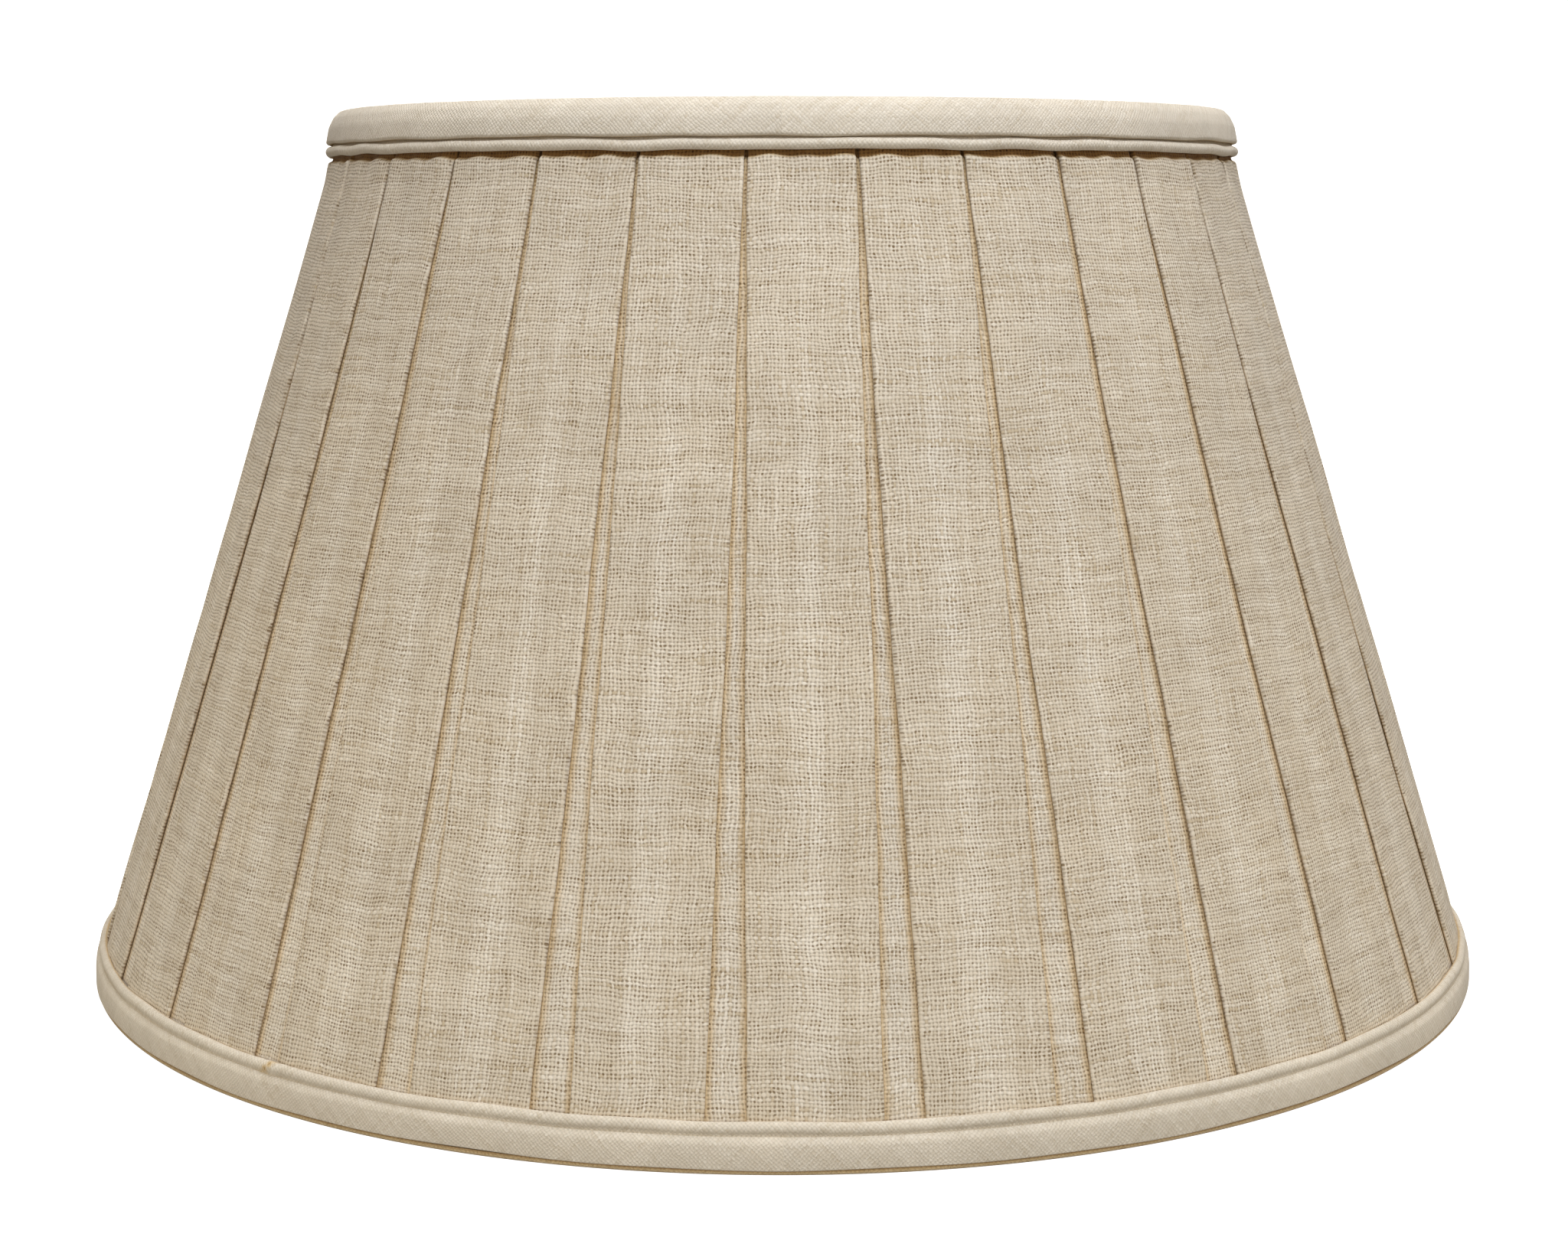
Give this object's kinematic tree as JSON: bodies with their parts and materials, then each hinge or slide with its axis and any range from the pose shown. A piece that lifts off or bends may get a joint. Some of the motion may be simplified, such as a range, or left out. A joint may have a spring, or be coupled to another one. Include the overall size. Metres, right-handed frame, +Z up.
{
  "type": "lamp shade",
  "caption": "Empire lamp shade of box-pleated natural linen with corded bands at both edges, lined, on a ribbed wire frame with a spider fitter.",
  "frame": {"origin": "centre of the circle on which the shade's lower edge stands, on the shade's axis at its lowest level", "axes": "+Z up along the shade's axis, -Y towards the front of the shade, +X to the right seen from the front"},
  "size_m": [0.4018, 0.4018, 0.2423],
  "materials": {
    "linen": "plain-woven natural linen, matt, slubbed",
    "linen_trim": "the same linen cut on the bias, matt",
    "lining": "off-white lining cloth, soft sheen",
    "cotton_tape": "cotton tape, matt",
    "coated_steel": "steel wire with an off-white coat, satin",
    "brass": "plated brass, satin"
  },
  "bodies": {
    "root": {"top_ring": "coated_steel", "bottom_ring": "coated_steel", "top_ring_tape": "cotton_tape", "bottom_ring_tape": "cotton_tape", "rib_01": "coated_steel", "rib_02": "coated_steel", "rib_03": "coated_steel", "rib_04": "coated_steel", "rib_05": "coated_steel", "rib_06": "coated_steel", "rib_07": "coated_steel", "rib_08": "coated_steel", "rib_09": "coated_steel", "rib_10": "coated_steel", "spider_arm_1": "brass", "spider_arm_2": "brass", "spider_arm_3": "brass", "spider_hub": "brass", "cover_length_1": "linen", "cover_length_2": "linen", "cover_length_3": "linen", "lining_half_1": "lining", "lining_half_2": "lining", "top_trim_band_1": "linen_trim", "top_trim_band_2": "linen_trim", "top_trim_piping": "linen_trim", "bottom_trim_band_1": "linen_trim", "bottom_trim_band_2": "linen_trim", "bottom_trim_piping": "linen_trim", "top_inner_binding": "linen_trim", "bottom_inner_binding_1": "linen_trim", "bottom_inner_binding_2": "linen_trim", "arm_neatener_1": "lining", "arm_neatener_2": "lining", "arm_neatener_3": "lining"}
  },
  "joints": []
}
